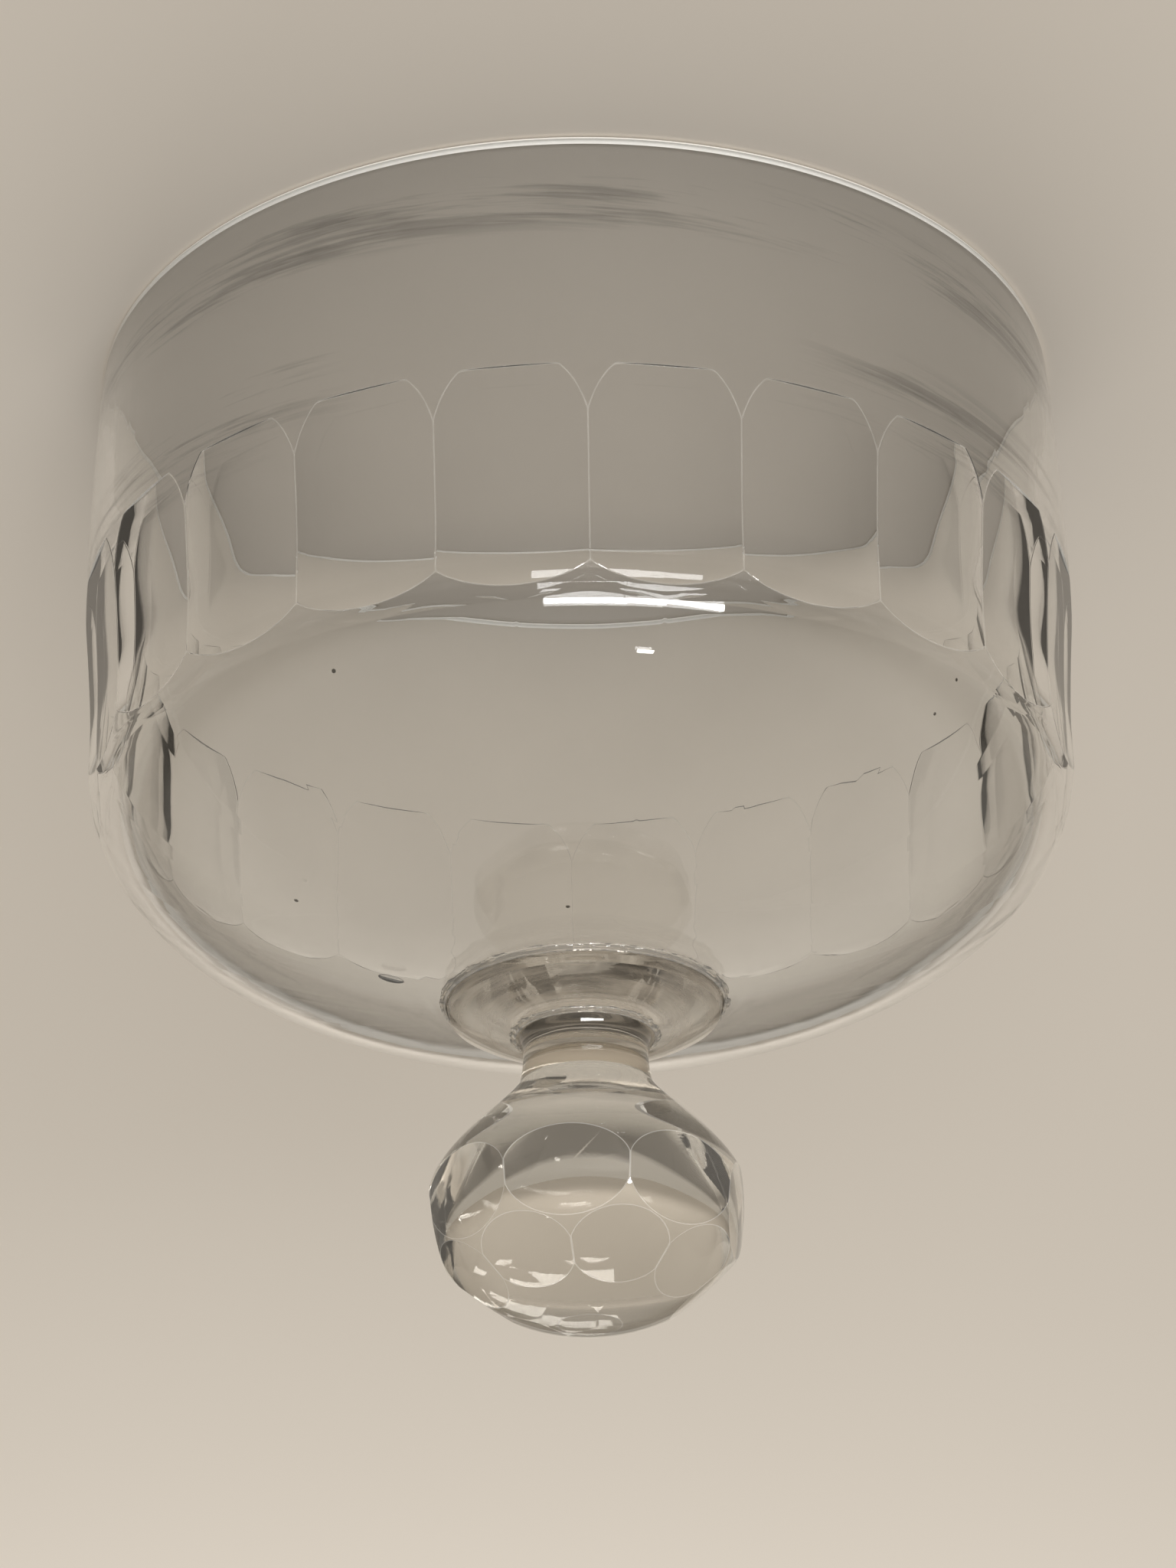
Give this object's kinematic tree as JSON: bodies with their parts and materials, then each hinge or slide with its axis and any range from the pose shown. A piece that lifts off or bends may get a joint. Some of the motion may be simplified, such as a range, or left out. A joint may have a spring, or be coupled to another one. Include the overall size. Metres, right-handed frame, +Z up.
{
  "type": "cheese dome",
  "caption": "Clear cut-glass cheese dome: a thick bell with tall flat panels round its belly, lifted by a faceted ball knob on a short neck and collar.",
  "frame": {"origin": "centre of the rim's circle, on the flat face that the dome stands on", "axes": "+Z up the axis to the knob; -Y is the side that faces the camera in the picture; +X is at the picture's left"},
  "size_m": [0.1686, 0.1686, 0.1689],
  "materials": {
    "bell_glass": "clear blown crystal with a faint warm grey tint, polished, its panels wheel cut and polished",
    "stem_glass": "clear fire-polished crystal of the collar and the neck",
    "knob_glass": "clear solid crystal, ground with facets and polished",
    "seam_glass": "uneven bead of glass where two gathers were joined hot"
  },
  "bodies": {
    "root": {"bell": "bell_glass", "collar_seam": "seam_glass", "collar": "stem_glass", "neck_seam": "seam_glass", "neck": "stem_glass", "knob": "knob_glass"}
  },
  "joints": []
}
